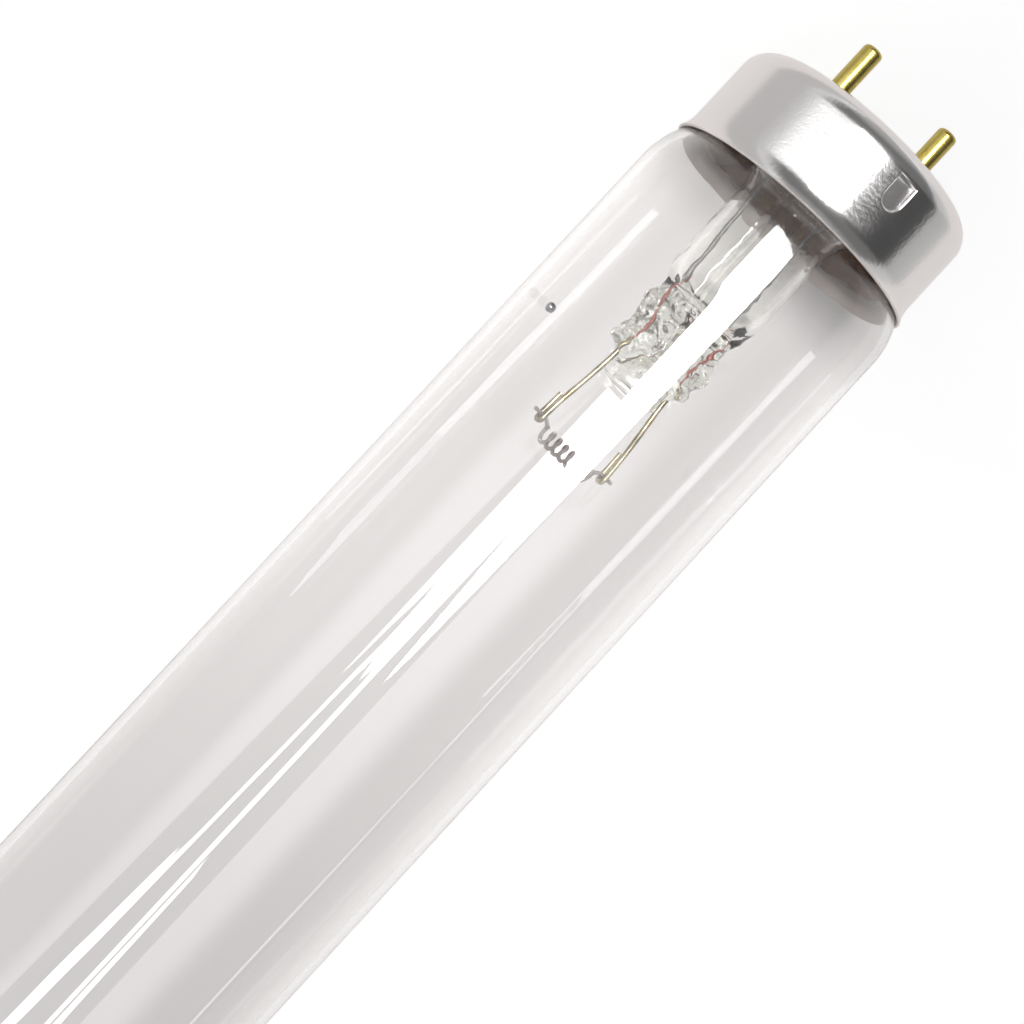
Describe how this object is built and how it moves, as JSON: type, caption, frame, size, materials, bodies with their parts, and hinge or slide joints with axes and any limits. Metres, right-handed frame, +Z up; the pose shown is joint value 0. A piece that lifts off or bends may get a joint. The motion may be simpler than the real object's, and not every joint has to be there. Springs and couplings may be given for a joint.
{
  "type": "germicidal lamp tube",
  "caption": "Straight clear glass discharge tube with aluminium pin caps, glass stems, lead wires and coiled filaments, giving germicidal ultraviolet light.",
  "frame": {"origin": "middle of the glass tube, on its axis", "axes": "+X along the tube towards the end in the picture, +Y across the pair of contact pins, +Z up"},
  "size_m": [0.6032, 0.0324, 0.0324],
  "materials": {
    "tube_glass": "clear, polished",
    "stem_glass": "clear, fire polished",
    "cap_metal": "drawn, bright with a soft sheen",
    "pin_brass": "bright drawn",
    "plate_phenolic": "brown phenolic board",
    "cement": "brown baked cement",
    "outer_lead": "dull grey wire",
    "seal_copper": "red copper-clad wire in glass",
    "inner_lead": "nickel-plated wire",
    "filament": "coated coiled wire",
    "mercury": "liquid mirror"
  },
  "bodies": {
    "root": {"glass_tube": "tube_glass", "mercury_drop": "mercury", "cap_shell_a": "cap_metal", "cap_shell_b": "cap_metal", "pin_plate_a": "plate_phenolic", "pin_plate_b": "plate_phenolic", "cap_cement_a": "cement", "cap_cement_b": "cement", "contact_pin_1_a": "pin_brass", "contact_pin_2_a": "pin_brass", "contact_pin_1_b": "pin_brass", "contact_pin_2_b": "pin_brass", "stem_a": "stem_glass", "stem_b": "stem_glass", "exhaust_tube_a": "stem_glass", "exhaust_tube_b": "stem_glass", "outer_lead_1_a": "outer_lead", "outer_lead_2_a": "outer_lead", "outer_lead_1_b": "outer_lead", "outer_lead_2_b": "outer_lead", "seal_wire_1_a": "seal_copper", "seal_wire_2_a": "seal_copper", "seal_wire_1_b": "seal_copper", "seal_wire_2_b": "seal_copper", "inner_lead_1_a": "inner_lead", "inner_lead_2_a": "inner_lead", "inner_lead_1_b": "inner_lead", "inner_lead_2_b": "inner_lead", "filament_a": "filament", "filament_b": "filament"}
  },
  "joints": []
}
